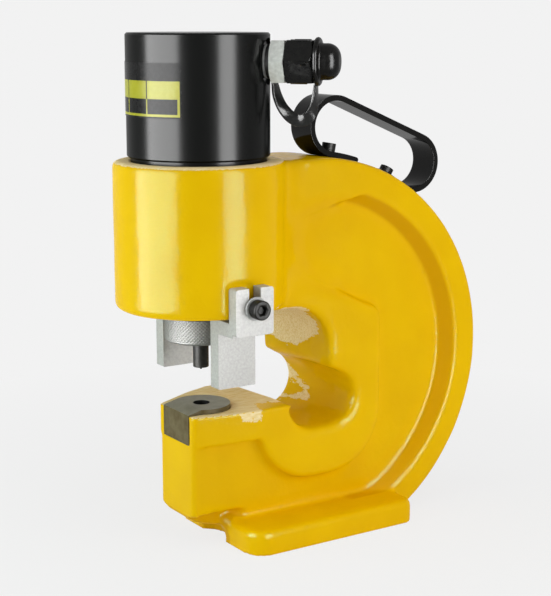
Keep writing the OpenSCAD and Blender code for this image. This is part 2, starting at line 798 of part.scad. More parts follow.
module punch() color(dark_steel) at_axis() {
    translate([0, 0, nut_bot + nut_floor + seat])
        cylinder(r = punch_head_r, h = punch_head_h - 2 * seat);
    translate([0, 0, punch_tip]) cylinder(r = punch_d / 2, h = punch_reach + nut_floor + over);
    translate([0, 0, punch_tip - nub]) cylinder(r1 = nub_r / 3, r2 = nub_r, h = nub + seat);
}

module die() color(dark_steel) at_axis() difference() {
    union() {
        translate([0, 0, die_bot]) cylinder(r = die_r, h = die_h);
        translate([-jaw_front, -tongue_w / 2, die_bot]) cube([jaw_front, tongue_w, die_h]);
    }
    // the tongue's top falls towards the front
    translate([-jaw_front, 0, die_top - die_slope])
        rotate([0, -atan(die_slope / (jaw_front - die_r / 2)), 0])
        translate([-over, -die_r - over, 0]) cube([jaw_front, 2 * (die_r + over), die_h]);
    translate([0, 0, die_top - die_land]) cylinder(r = die_hole_r, h = die_land + over);
    translate([0, 0, die_bot - over]) cylinder(r = relief_r, h = die_h - die_land + over);
}

module die_set_screw() color(black) at_axis() translate([0, die_r + slide_gap, jaw_top - set_drop])
    rotate([-90, 0, 0]) difference() {
        cylinder(r = set_r, h = set_len - slide_gap);
        translate([0, 0, set_len / 2]) cylinder(r = set_key_r, h = set_len, $fn = 6);
    }

// Strippers

// The stripper on the far side; the near one is its mirror image.
module stripper() at_axis() translate([strip_x, 0, 0]) {
    // fork plate
    translate([0, fork_y + fork_t / 2, fork_bot + fork_h / 2]) side(fork_t) difference() {
        round_rect(strip_w, fork_h, fork_corner);
        translate([0, slot_z - fork_bot - fork_h / 2]) {
            circle(slot_w / 2);
            translate([-slot_w / 2, 0]) square([slot_w, fork_h]);
        }
    }
    // shelf under the barrel
    translate([0, (leg_y + fork_y + fork_t / 2) / 2, shelf_bot + shelf_t / 2])
        cube([strip_w, fork_y + fork_t / 2 - leg_y, shelf_t], center = true);
    // lower plate
    translate([0, leg_y + leg_t / 2, (leg_bot + shelf_bot + shelf_t) / 2]) side(leg_t)
        round_rect(strip_w, shelf_bot + shelf_t - leg_bot, fork_corner / 2);
}

module stripper_far() color(cast_silver) stripper();
module stripper_near() color(cast_silver) mirror([0, 1, 0]) stripper();

module on_stripper_screws() at_axis() for (m = [0, 1]) mirror([0, m, 0])
    translate([strip_x, washer_y, strip_screw_z]) rotate([-90, 0, 0]) children();

module stripper_screws() color(black) on_stripper_screws()
    translate([0, 0, strip_washer_t])
    socket_screw(m8_r, m8_len, m8_head_r, m8_head_h, m8_key_r);

module stripper_washers() color(steel) on_stripper_screws()
    ring(strip_washer_r, m8_r + seat, strip_washer_t - seat);

// Handle

// Places children on the frame's round back, a degrees from upright, with +Z outwards.
module on_back(a, d) translate([axis_back, 0, back_z]) rotate([0, a, 0])
    translate([0, 0, back_r + d]) children();

function bow_centre(a) = [(strap_r + bow_r) * sin(a), (strap_r + bow_r) * cos(a)];

// Points on a circle about c, from angle a0 to a1 measured from upright.
function arc_points(c, r, a0, a1, steps, first = 0) = [for (i = [first : steps])
    let (a = a0 + (a1 - a0) * i / steps) c + r * [sin(a), cos(a)]];

// One face of the strap, h to the side of its middle line, from foot to foot.
function strap_line(h) = concat(
    arc_points([0, 0], strap_r - h, front_tip, front_turn, foot_steps),
    arc_points(front_c, bow_r + h, 180 + front_turn, 360 - bow_line, bow_steps, 1),
    arc_points(back_c, bow_r + h, -bow_line, 180 + back_turn, bow_steps),
    arc_points([0, 0], strap_r - h, back_turn, back_tip, foot_steps, 1));

function reversed(list) = [for (i = [len(list) - 1 : -1 : 0]) list[i]];

function on_foot(a) = strap_r * [sin(a), cos(a)];

module handle_strap() color(black) at_axis() difference() {
    half = strap_t / 2;
    translate([axis_back, 0, back_z]) side(strap_w) polygon(concat(
        strap_line(half),
        [for (p = arc_points(on_foot(back_tip), half, back_tip - 180, back_tip, tip_steps, 1)) p],
        [for (i = [1 : 2 * (foot_steps + bow_steps) + 1]) reversed(strap_line(-half))[i]],
        [for (i = [1 : tip_steps - 1])
            arc_points(on_foot(front_tip), half, front_tip, front_tip + 180, tip_steps)[i]]));
    for (a = [front_screw, back_screw]) on_back(a, -over)
        cylinder(r = m6_r + slide_gap, h = strap_t + 3 * over);
}

module handle_screws() color(black) at_axis() for (a = [front_screw, back_screw])
    on_back(a, strap_t + 2 * seat) socket_screw(m6_r, m6_len, m6_head_r, m6_head_h, m6_key_r);

// Hose coupling

// Places children on the hose port's axis, d from the punch's axis, with +Z outwards.
module on_port(d) translate([0, 0, port_axis_z]) rotate([0, 0, -port_turn]) rotate([0, 90, 0])
    translate([0, 0, d]) children();

module port_seal() color(steel) at_axis() on_port(spot_d + seat)
    ring(seal_r, port_thread_r + seat, seal_t - 2 * seat);

module hose_adapter() color(steel) at_axis() difference() {
    union() {
        on_port(spot_d - port_stem + seat) cylinder(r = port_thread_r - seat, h = port_stem + seal_t);
        on_port(neck_d) cylinder(r = root_r, h = root_len + over);
        on_port(hex_d) hex_bar(hex_af, hex_len);
        on_port(sleeve_d - over) cylinder(r = port_thread_r, h = thread_len + over);
    }
    on_port(oil_r) cylinder(r = stem_bore_r, h = flange_d - oil_r);
}

module coupler_body() color(black) at_axis() difference() {
    union() {
        on_port(sleeve_d + seat) hex_bar(sleeve_af, sleeve_len - 2 * seat);
        on_port(sleeve_d + sleeve_len * bar_share) for (i = [0 : 5]) rotate([0, 0, 60 * i + 30])
            translate([sleeve_af / sqrt(3) - 2 * sleeve_bar, -sleeve_bar, 0])
            cube([2 * sleeve_bar, 2 * sleeve_bar, sleeve_len * (1 - 2 * bar_share)]);
        on_port(flange_d - over) cylinder(r = nipple_r, h = nipple_len + over);
    }
    on_port(sleeve_d) cylinder(r = port_thread_r + seat, h = thread_len + seat);
    on_port(sleeve_d) cylinder(r = valve_bore_r, h = valve_d - sleeve_d);
    on_port(sleeve_d) cylinder(r = poppet_stem_r * 2, h = sleeve_len + nipple_len + over);
}

// The check valve's poppet, seated at the mouth of the coupler.
module coupler_poppet() color(steel) at_axis() {
    on_port(valve_d - poppet_len - seat) cylinder(r = poppet_r, h = poppet_len);
    on_port(valve_d - poppet_len - seat)
        cylinder(r = poppet_stem_r, h = poppet_len + nipple_len * stem_share);
}

module poppet_spring() color(steel) at_axis() {
    free = valve_d - poppet_len - sleeve_d - thread_len - 4 * seat;
    on_port(sleeve_d + thread_len + 2 * seat)
        coil(poppet_r - poppet_wire / 2, poppet_wire / 2, (free - poppet_wire) / poppet_turns,
            poppet_turns);
}

module dust_cap() color(rubber) at_axis() difference() {
    union() {
        on_port(flange_d + slide_gap) cylinder(r = flange_r, h = flange_t - slide_gap);
        on_port(flange_d + flange_t - over) cylinder(r = dome_r, h = dome_len - cap_round + over);
        on_port(flange_d + flange_t + dome_len - cap_round) rotate_extrude() intersection() {
            union() {
                translate([dome_r - cap_round, 0]) circle(cap_round);
                square([dome_r - cap_round, cap_round]);
            }
            square([dome_r, cap_round]);
        }
    }
    on_port(flange_d) cylinder(r = nipple_r + slide_gap, h = nipple_len + slide_gap);
}

// The strap that keeps the dust cap: a ring on the adapter's neck and a hanging bow.
module cap_tether() color(rubber) at_axis() {
    on_port(neck_d + slide_gap) ring(root_r + tether_ring + seat, root_r + seat, root_len - 2 * slide_gap);
    low_z = port_axis_z - tether_low;
    leg_d = flange_d + slide_gap;
    bow_d = leg_d - tether_bow;
    top_d = neck_d + root_len / 2;
    top_z = port_axis_z - root_r - tether_ring / 2;
    turn_z = port_axis_z - hex_af / sqrt(3) - tether_t;
    run = [bow_d - tether_bow - top_d, low_z - turn_z];
    rotate([0, 0, -port_turn]) side(tether_w) {
        // bow at the bottom
        translate([bow_d, low_z]) difference() {
            circle(tether_bow + tether_t / 2);
            circle(tether_bow - tether_t / 2);
            translate([-2 * tether_bow, 0]) square(4 * tether_bow);
        }
        // outer leg, up to just under the cap's flange
        translate([leg_d - tether_t / 2, low_z])
            square([tether_t, port_axis_z - flange_r - tether_gap - low_z]);
        // inner leg, up past the hexagon to the ring on the neck
        translate([top_d, turn_z]) rotate(atan2(run[1], run[0]))
            translate([0, -tether_t / 2]) square([norm(run), tether_t]);
        translate([top_d - tether_t / 2, turn_z]) square([tether_t, top_z - turn_z]);
        for (p = [[top_d, turn_z], [bow_d - tether_bow, low_z]])
            translate(p) circle(tether_t / 2);
    }
}

c_frame();
cylinder_cup();
cup_o_ring();
data_plate();
ram();
piston_seal();
piston_backup_ring();
piston_wear_ring();
return_spring();
spring_seat_washer();
guide_bush();
rod_wiper();
punch_nut();
punch();
die();
die_set_screw();
stripper_near();
stripper_far();
stripper_screws();
stripper_washers();
handle_strap();
handle_screws();
port_seal();
hose_adapter();
coupler_body();
coupler_poppet();
poppet_spring();
cap_tether();
dust_cap();
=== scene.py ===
"""Looks of the hydraulic busbar punch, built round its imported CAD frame."""
import json
import math

import bmesh
import bpy
import numpy as np
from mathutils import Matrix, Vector, noise

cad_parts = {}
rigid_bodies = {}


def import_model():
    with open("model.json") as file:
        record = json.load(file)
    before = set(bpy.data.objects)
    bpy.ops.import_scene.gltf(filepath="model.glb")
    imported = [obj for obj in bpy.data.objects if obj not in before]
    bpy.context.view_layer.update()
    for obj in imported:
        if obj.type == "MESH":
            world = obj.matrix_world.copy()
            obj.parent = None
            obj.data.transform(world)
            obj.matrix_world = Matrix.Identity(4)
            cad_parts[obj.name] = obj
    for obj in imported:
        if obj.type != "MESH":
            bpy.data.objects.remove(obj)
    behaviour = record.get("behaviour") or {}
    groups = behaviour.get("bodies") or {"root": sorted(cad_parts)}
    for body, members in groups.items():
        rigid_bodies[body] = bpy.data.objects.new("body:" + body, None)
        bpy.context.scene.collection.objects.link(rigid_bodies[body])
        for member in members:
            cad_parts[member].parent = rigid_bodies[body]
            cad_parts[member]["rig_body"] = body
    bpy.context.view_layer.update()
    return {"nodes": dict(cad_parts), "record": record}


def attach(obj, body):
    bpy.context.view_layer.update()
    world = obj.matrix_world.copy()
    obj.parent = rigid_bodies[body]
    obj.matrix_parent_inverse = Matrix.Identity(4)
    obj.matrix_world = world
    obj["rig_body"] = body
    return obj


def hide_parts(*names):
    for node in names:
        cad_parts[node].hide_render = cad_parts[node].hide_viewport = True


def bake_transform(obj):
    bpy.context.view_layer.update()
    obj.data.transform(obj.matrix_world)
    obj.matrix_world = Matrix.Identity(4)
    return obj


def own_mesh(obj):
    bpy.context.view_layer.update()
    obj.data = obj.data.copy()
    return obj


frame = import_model()

MM = 0.001
AXIS = Vector((-78.5, 0, 0)) * MM          # the punch's axis, on the floor
UP = Vector((0, 0, 1))
CAMERA_PLACE = (-0.56183, -0.83591, 0.36502)
CAMERA_TURN = math.radians(33.12)          # how far the camera's view turns from +Y to +X
CAMERA_TILT = math.radians(78.82)          # how far it is raised from straight down
BACKGROUND = 0.888                         # linear value of the photo's pale background
WHITE = (1, 1, 1, 1)


# Shader nodes

def add_node(tree, kind, inputs=None, **settings):
    """A shader node with its settings, and its inputs set to values or linked to sockets."""
    made = tree.nodes.new(kind)
    for key, value in settings.items():
        setattr(made, key, value)
    for key, value in (inputs or {}).items():
        if isinstance(value, bpy.types.NodeSocket):
            tree.links.new(value, made.inputs[key])
        else:
            made.inputs[key].default_value = value
    return made


def maths(tree, operation, *values):
    return add_node(tree, "ShaderNodeMath", dict(enumerate(values)), operation=operation).outputs[0]


def span(tree, value, low, high, to_low=0.0, to_high=1.0):
    """A value that runs from to_low to to_high as the given one runs from low to high."""
    return add_node(tree, "ShaderNodeMapRange", {"Value": value, "From Min": low, "From Max": high,
                                                 "To Min": to_low, "To Max": to_high}).outputs[0]


def attribute(tree, name):
    return add_node(tree, "ShaderNodeAttribute", attribute_name=name).outputs["Fac"]


def emptied_tree(owner):
    owner.use_nodes = True
    owner.node_tree.nodes.clear()
    return owner.node_tree


# Camera, light and floor

def set_camera():
    data = bpy.data.cameras.new("camera")
    data.lens, data.sensor_width = 86.0, 36.0
    camera = bpy.data.objects.new("camera", data)
    camera.location = CAMERA_PLACE
    camera.rotation_euler = (CAMERA_TILT, 0, -CAMERA_TURN)
    bpy.context.scene.collection.objects.link(camera)
    bpy.context.scene.camera = camera


def seen_directly(tree):
    """1 for rays from the camera, and for what metal and glass show of the surroundings."""
    path = add_node(tree, "ShaderNodeLightPath")
    either = maths(tree, "MAXIMUM", path.outputs["Is Camera Ray"], path.outputs["Is Glossy Ray"])
    return maths(tree, "MAXIMUM", either, path.outputs["Is Transmission Ray"])


def set_world(level):
    """An even light from all around, which looks like the pale background where it is seen."""
    world = bpy.data.worlds.new("studio")
    tree = emptied_tree(world)
    fill = add_node(tree, "ShaderNodeBackground", {"Color": WHITE, "Strength": level})
    pale = add_node(tree, "ShaderNodeBackground", {"Color": WHITE, "Strength": BACKGROUND})
    mixed = add_node(tree, "ShaderNodeMixShader",
                     {0: seen_directly(tree), 1: fill.outputs[0], 2: pale.outputs[0]})
    add_node(tree, "ShaderNodeOutputWorld", {"Surface": mixed.outputs[0]})
    bpy.context.scene.world = world


def set_floor(shadow_share, shadow_reach):
    """A pale floor that keeps a soft shadow near the object and fades into the background."""
    radius, drop, grey = 30, 0.0002, (0.86, 0.86, 0.86, 1)
    bpy.ops.mesh.primitive_circle_add(vertices=96, radius=radius, fill_type="NGON", location=(0, 0, -drop))
    floor = bpy.context.object
    floor.name = "floor"
    material = bpy.data.materials.new("floor")
    tree = emptied_tree(material)
    place = add_node(tree, "ShaderNodeTexCoord").outputs["Object"]
    away = add_node(tree, "ShaderNodeVectorMath", {0: place}, operation="LENGTH").outputs["Value"]
    shadow = span(tree, away, shadow_reach / 3, shadow_reach, shadow_share, 0.0)
    plain = maths(tree, "MULTIPLY", seen_directly(tree), maths(tree, "SUBTRACT", 1.0, shadow))
    bare = add_node(tree, "ShaderNodeBsdfDiffuse", {"Color": grey})
    pale = add_node(tree, "ShaderNodeEmission", {"Color": WHITE, "Strength": BACKGROUND})
    mixed = add_node(tree, "ShaderNodeMixShader", {0: plain, 1: bare.outputs[0], 2: pale.outputs[0]})
    add_node(tree, "ShaderNodeOutputMaterial", {"Surface": mixed.outputs[0]})
    floor.data.materials.append(material)


def add_lamp(name, place, outwards, size, radiance, mirrored=False, colour=(1, 1, 1)):
    """A plain rectangular lamp, which either lights matt surfaces or is mirrored by glossy ones."""
    data = bpy.data.lights.new(name, "AREA")
    data.shape = "RECTANGLE"
    data.size, data.size_y = size
    data.energy = radiance * math.pi * data.size * data.size_y
    data.color = colour
    lamp = bpy.data.objects.new(name, data)
    lamp.location = place
    lamp.rotation_euler = outwards.to_track_quat("Z", "Y").to_euler()
    lamp.visible_camera = False
    lamp.visible_diffuse, lamp.visible_glossy = not mirrored, mirrored
    bpy.context.scene.collection.objects.link(lamp)


def add_softbox(name, turn, away, low, high, width, radiance, mirrored=False, colour=(1, 1, 1)):
    """An upright lamp that faces the punch, turned from the camera's side towards its left."""
    turn = math.radians(turn)
    to_camera = Vector((-math.sin(CAMERA_TURN), -math.cos(CAMERA_TURN), 0))
    to_left = Vector((-math.cos(CAMERA_TURN), math.sin(CAMERA_TURN), 0))
    outwards = to_camera * math.cos(turn) + to_left * math.sin(turn)
    place = outwards * away + Vector((AXIS.x, 0, (low + high) / 2))
    add_lamp(name, place, outwards, (width, high - low), radiance, mirrored, colour)


set_camera()
set_world(level=0.36)
set_floor(shadow_share=0.12, shadow_reach=0.5)
# the mirrored lamps stand in front of the others, because lamps at one place hide each other
add_softbox("left_light", turn=67, away=0.6, low=0, high=0.62, width=0.7, radiance=2.65,
            colour=(0.84, 1.0, 0.95))
add_softbox("right_light", turn=-56, away=0.6, low=0, high=0.45, width=0.4, radiance=2.75)
add_softbox("left_gloss", turn=54.5, away=0.58, low=-0.05, high=0.75, width=0.62, radiance=40.0,
            mirrored=True)
add_softbox("right_gloss", turn=-48, away=0.58, low=-0.05, high=0.75, width=0.27, radiance=40.0,
            mirrored=True)
add_lamp("top_light", place=Vector((0, -0.35, 1.3)), outwards=Vector((0.04, -0.35, 1.15)), size=(1.0, 1.0),
         radiance=1.25)


# Materials

MOST_NOISE = (0.3, 0.7)                    # the range that most of a noise's values lie in


def new_material(name, colour, rough, metal=0.0, specular=0.5):
    """A Principled material; what is the same all over is set on the shader's own sockets."""
    material = bpy.data.materials.new(name)
    material.use_nodes = True
    shader = material.node_tree.nodes["Principled BSDF"]
    values = {"Base Color": (*colour, 1), "Roughness": rough, "Metallic": metal,
              "Specular IOR Level": specular}
    for key, value in values.items():
        shader.inputs[key].default_value = value
    return material, material.node_tree, shader


def noise_field(tree, wave, detail, stretch=(1, 1, 1)):
    """Noise from 0 to 1 whose features are about one wave apart, in metres."""
    place = add_node(tree, "ShaderNodeTexCoord").outputs["Object"]
    place = add_node(tree, "ShaderNodeMapping", {"Vector": place, "Scale": stretch}).outputs[0]
    inputs = {"Vector": place, "Scale": 1 / wave, "Detail": detail, "Roughness": 0.5}
    return add_node(tree, "ShaderNodeTexNoise", inputs).outputs["Fac"]


def blend_colours(tree, share, first, second):
    mix = add_node(tree, "ShaderNodeMix", data_type="RGBA")
    for key, value in ((0, share), (6, first), (7, second)):
        if isinstance(value, bpy.types.NodeSocket):
            tree.links.new(value, mix.inputs[key])
        else:
            mix.inputs[key].default_value = (*value, 1) if isinstance(value, tuple) else value
    return mix.outputs[2]


def bump(tree, shader, *layers):
    """Stacks bumps, each a height from 0 to 1 and its depth in metres."""
    normal = None
    for height, depth in layers:
        inputs = {"Height": height, "Distance": depth, "Strength": 1.0}
        if normal:
            inputs["Normal"] = normal
        normal = add_node(tree, "ShaderNodeBump", inputs).outputs[0]
    tree.links.new(normal, shader.inputs["Normal"])


def quiet_edges(tree, shader, level):
    """Lets gloss fade where a surface turns away, so that it shows little of the pale surroundings."""
    facing = add_node(tree, "ShaderNodeLayerWeight", {"Blend": 0.5}).outputs["Facing"]
    tree.links.new(span(tree, facing, 0.25, 0.85, level, level * 0.1), shader.inputs["Specular IOR Level"])


def mottled(name, colours, rough, wave, depth, metal=0.0, specular=0.5, stretch=(1, 1, 1), quiet=False,
            edge=None):
    """A finish that varies between two colours and two roughnesses, on bumps of a wave and depth in mm.

    With quiet, its gloss fades at its outline. With edge, rounded edges have that colour, as painted shade
    along them.
    """
    material, tree, shader = new_material(name, colours[0], rough[0], metal, specular)
    field = noise_field(tree, wave * MM, 3.0, stretch)
    coat = blend_colours(tree, span(tree, field, *MOST_NOISE), *colours)
    # painted shade: rounded edges take the dark edge colour
    if edge:
        coat = blend_colours(tree, attribute(tree, "edge"), coat, edge)
    tree.links.new(coat, shader.inputs["Base Color"])
    tree.links.new(span(tree, field, *MOST_NOISE, *rough), shader.inputs["Roughness"])
    bump(tree, shader, (field, depth * MM))
    if quiet:
        quiet_edges(tree, shader, specular)
    return material


def make_enamel():
    """Glossy enamel over a casting, with bare metal in its worn areas.

    The attribute bare says how far a point lies inside such an area, and thick where painted shade darkens
    the coat.
    """
    paint, cloudy_paint, painted_shade = (0.79, 0.475, 0.0), (0.75, 0.435, 0.0), (0.66, 0.35, 0.0)
    dull_metal, bright_metal = (0.80, 0.58, 0.24), (0.95, 0.77, 0.46)
    paint_rough, metal_rough = 0.16, 0.6
    material, tree, shader = new_material("yellow_enamel", paint, paint_rough)
    quiet_edges(tree, shader, 0.066)
    shader.inputs["Specular Tint"].default_value = (0.05, 0.8, 0.65, 1)

    # worn areas have borders of streaks and of fine chips
    streaks = span(tree, noise_field(tree, 3 * MM, 3.0, (1.0, 0.3, 1.0)), 0.2, 0.8, -4 * MM, 4 * MM)
    chips = span(tree, noise_field(tree, 1.3 * MM, 2.0), 0.2, 0.8, -1.2 * MM, 1.2 * MM)
    depth = maths(tree, "ADD", attribute(tree, "bare"), maths(tree, "ADD", streaks, chips))
    bare = span(tree, depth, -0.2 * MM, 0.35 * MM)

    cloud = span(tree, noise_field(tree, 45 * MM, 2.0), 0.35, 0.65)
    coat = blend_colours(tree, cloud, paint, cloudy_paint)
    # painted shade: the coat darkens where the attribute thick is set, on the pocket's wall and the belly
    # under the jaw
    coat = blend_colours(tree, attribute(tree, "thick"), coat, painted_shade)
    scratches = span(tree, noise_field(tree, 1.1 * MM, 3.0, (0.12, 1.0, 1.0)), 0.35, 0.65)
    metal = blend_colours(tree, scratches, dull_metal, bright_metal)
    tree.links.new(blend_colours(tree, bare, coat, metal), shader.inputs["Base Color"])
    tree.links.new(span(tree, bare, 0.0, 1.0, paint_rough, metal_rough), shader.inputs["Roughness"])

    sand_grain, orange_peel = noise_field(tree, 8 * MM, 2.0), noise_field(tree, 2.6 * MM, 1.0)
    bump(tree, shader, (sand_grain, 0.32 * MM), (orange_peel, 0.11 * MM), (bare, -0.1 * MM))
    return material


def make_die_steel():
    """Dark hardened steel with turned rings about the punch's axis; painted shade makes its sides darker than
    its top and its bore black.
    """
    ring_pitch, bore_radius, bore_border = 0.5 * MM, 6.0 * MM, 0.1 * MM
    material, tree, shader = new_material("die_steel", (0.19, 0.185, 0.17), 0.3, specular=0.05)
    place = add_node(tree, "ShaderNodeTexCoord").outputs["Object"]
    centred = add_node(tree, "ShaderNodeVectorMath", {0: place, 1: (-AXIS.x, 0, 0)}, operation="ADD")
    flat = add_node(tree, "ShaderNodeVectorMath", {0: centred.outputs[0], 1: (1, 1, 0)}, operation="MULTIPLY")
    away = add_node(tree, "ShaderNodeVectorMath", {0: flat.outputs[0]}, operation="LENGTH").outputs["Value"]
    rings = maths(tree, "SINE", maths(tree, "MULTIPLY", away, 2 * math.pi / ring_pitch))

    stain = noise_field(tree, 8 * MM, 4.0)
    share = span(tree, stain, *MOST_NOISE)
    # painted shade: faces that turn away from up take the darker side colours
    top = blend_colours(tree, share, (0.18, 0.165, 0.12), (0.27, 0.26, 0.205))
    side = blend_colours(tree, share, (0.085, 0.06, 0.022), (0.15, 0.12, 0.06))
    normal = add_node(tree, "ShaderNodeTexCoord").outputs["Normal"]
    upright = add_node(tree, "ShaderNodeSeparateXYZ", {"Vector": normal}).outputs["Z"]
    colour = blend_colours(tree, span(tree, upright, 0.3, 0.8), side, top)
    # painted shade: the bore is painted black
    outside_bore = span(tree, away, bore_radius - bore_border, bore_radius + bore_border)
    colour = blend_colours(tree, outside_bore, (0.004, 0.004, 0.003), colour)
    tree.links.new(colour, shader.inputs["Base Color"])
    tree.links.new(span(tree, stain, *MOST_NOISE, 0.32, 0.42), shader.inputs["Roughness"])
    grain = noise_field(tree, 0.8 * MM, 2.0)
    bump(tree, shader, (span(tree, rings, -1.0, 1.0), 0.006 * MM), (grain, 0.01 * MM))
    return material


MOTTLED = {
    "black_cylinder": dict(colours=((0.0025, 0.0028, 0.0025), (0.0035, 0.0038, 0.0035)), rough=(0.2, 0.25),
                           wave=1.2, depth=0.006, specular=0.08, stretch=(1, 1, 3), quiet=True),
    "label_black": dict(colours=((0.004, 0.004, 0.004), (0.006, 0.006, 0.006)), rough=(0.24, 0.3),
                        wave=3, depth=0.004, specular=0.05),
    "label_yellow": dict(colours=((0.33, 0.305, 0.003), (0.36, 0.335, 0.01)), rough=(0.28, 0.34),
                         wave=3, depth=0.004, specular=0.085),
    "ground_steel": dict(colours=((0.20, 0.20, 0.19), (0.28, 0.28, 0.27)), rough=(0.22, 0.3),
                         wave=0.8, depth=0.003, metal=0.2, specular=0.35, stretch=(1, 1, 0.1)),
    "knurled_steel": dict(colours=((0.13, 0.13, 0.12), (0.19, 0.19, 0.175)), rough=(0.28, 0.36),
                          wave=1.5, depth=0.006, specular=0.36),
    "spring_steel": dict(colours=((0.06, 0.055, 0.05), (0.12, 0.11, 0.10)), rough=(0.3, 0.42),
                         wave=4, depth=0.01, metal=0.8),
    "tool_steel": dict(colours=((0.016, 0.015, 0.013), (0.03, 0.028, 0.024)), rough=(0.3, 0.42),
                       wave=2.5, depth=0.008, specular=0.1),
    "black_screw": dict(colours=((0.005, 0.005, 0.0045), (0.010, 0.0095, 0.008)), rough=(0.34, 0.44),
                        wave=1.4, depth=0.008, specular=0.08),
    # its rounded edges are painted dark, as painted shade
    "cast_silver": dict(colours=((0.31, 0.305, 0.29), (0.40, 0.395, 0.375)), rough=(0.34, 0.44),
                        wave=1.6, depth=0.03, specular=0.3, edge=(0.07, 0.07, 0.065)),
    "plated_washer": dict(colours=((0.27, 0.275, 0.265), (0.36, 0.365, 0.355)), rough=(0.36, 0.46),
                          wave=2, depth=0.006, specular=0.18),
    "plated_hex": dict(colours=((0.54, 0.555, 0.52), (0.70, 0.715, 0.68)), rough=(0.14, 0.2),
                       wave=2.5, depth=0.012, metal=0.1, specular=0.25),
    "black_hex": dict(colours=((0.003, 0.003, 0.003), (0.006, 0.006, 0.005)), rough=(0.14, 0.2),
                      wave=3, depth=0.02, specular=0.14),
    "handle_black": dict(colours=((0.002, 0.002, 0.0018), (0.004, 0.0036, 0.003)), rough=(0.1, 0.14),
                         wave=6, depth=0.03, specular=0.13, quiet=True),
    "bronze": dict(colours=((0.52, 0.32, 0.12), (0.62, 0.40, 0.17)), rough=(0.25, 0.35),
                   wave=1, depth=0.004, metal=1.0, stretch=(1, 1, 0.1)),
    "backup_plastic": dict(colours=((0.78, 0.76, 0.68), (0.84, 0.82, 0.75)), rough=(0.4, 0.5),
                           wave=2, depth=0.006),
    "seal_rubber": dict(colours=((0.012, 0.012, 0.012), (0.02, 0.02, 0.02)), rough=(0.5, 0.6),
                        wave=1, depth=0.01),
    "tether_rubber": dict(colours=((0.012, 0.012, 0.012), (0.02, 0.02, 0.019)), rough=(0.14, 0.2),
                          wave=2, depth=0.01, specular=0.14, quiet=True),
    "cap_rubber": dict(colours=((0.003, 0.003, 0.003), (0.007, 0.0065, 0.0055)), rough=(0.18, 0.26),
                       wave=2.5, depth=0.02, specular=0.09, quiet=True),
}
FINISHES = {name: mottled(name, **settings) for name, settings in MOTTLED.items()}
FINISHES["yellow_enamel"] = make_enamel()
FINISHES["die_steel"] = make_die_steel()


# Pieces

def add_piece(mesh, name, body, slot, *nodes):
    """Shows a mesh as a piece that rides on a body, if one is named, and stands for some CAD nodes."""
    piece = bpy.data.objects.new(name, mesh)
    bpy.context.scene.collection.objects.link(piece)
    if not mesh.materials:
        mesh.materials.append(FINISHES[slot])
    if body:
        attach(piece, body)
    if nodes:
        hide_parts(*nodes)
    return piece


def body_of_node(node):
    return frame["nodes"][node]["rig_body"]


def slot_of_node(node):
    return next(part["material_slot"] for part in frame["record"]["subparts"] if part["node"] == node)


def welded_copy(node):
    """A bmesh of a CAD node with its shared corners joined."""
    shape = bmesh.new()
    shape.from_mesh(frame["nodes"][node].data)
    bmesh.ops.remove_doubles(shape, verts=shape.verts, dist=1e-6)
    return shape


def turned_into_mesh(shape, name):
    """The mesh of a bmesh, which is freed."""
    mesh = bpy.data.meshes.new(name)
    shape.to_mesh(mesh)
    shape.free()
    return mesh


def shade(mesh, crease):
    """Smooth shading, apart from creases of more than some degrees."""
    mesh.shade_smooth()
    mesh.set_sharp_from_angle(angle=math.radians(crease))


def join_loops(shape, one, two):
    """A band of faces between two closed loops of corners."""
    for k in range(len(one)):
        m = (k + 1) % len(one)
        shape.faces.new((one[k], one[m], two[m], two[k]))


def bevelled_piece(node):
    """A CAD node's shape with rounded edges; the attribute edge tells them from the faces."""
    flat, crease = math.radians(0.5), math.radians(28)
    widest = 1.0                           # more metres than there is room for, so a bevel takes what it can
    shape = welded_copy(node)
    bmesh.ops.dissolve_limit(shape, angle_limit=flat, verts=shape.verts, edges=shape.edges)
    rounded = shape.faces.layers.float.new("edge")
    sharp = [edge for edge in shape.edges if len(edge.link_faces) == 2 and edge.calc_face_angle() > crease]
    made = bmesh.ops.bevel(shape, geom=sharp, offset=widest, segments=3, profile=0.5, affect="EDGES",
                           clamp_overlap=True)
    for face in made["faces"]:
        face[rounded] = 1.0
    name = node + "_shape"
    mesh = turned_into_mesh(shape, name)
    mesh.shade_smooth()
    piece = add_piece(mesh, name, body_of_node(node), slot_of_node(node), node)
    weighted = piece.modifiers.new("even_normals", "WEIGHTED_NORMAL")
    weighted.weight = 100


# The casting. Places on it are in mm, as in part.scad: x from the punch's axis, y from the middle plane
# and z from the floor.

JAW_TOP, JAW_UNDER, CROWN = 97, 25, 270    # heights of the jaw and of the barrel's upper end
BACK = (78.5, 124)                         # x and z of the round back's centre
RIDGE = (82.3, 115.9)                      # x and z of the ridge between the throat's two rounds
BELLY_NARROWED, BELLY_RAISED = 0.3, 0.33   # shares of the belly's width and of its depth
THROAT_SHIFT = 7.5                         # how much less deep the throat is at its far side
FLAT_REACH = 56.8                          # how far the flats under the strippers may stand out
FAR = 20                                   # farthest that a place is said to lie inside a bare area

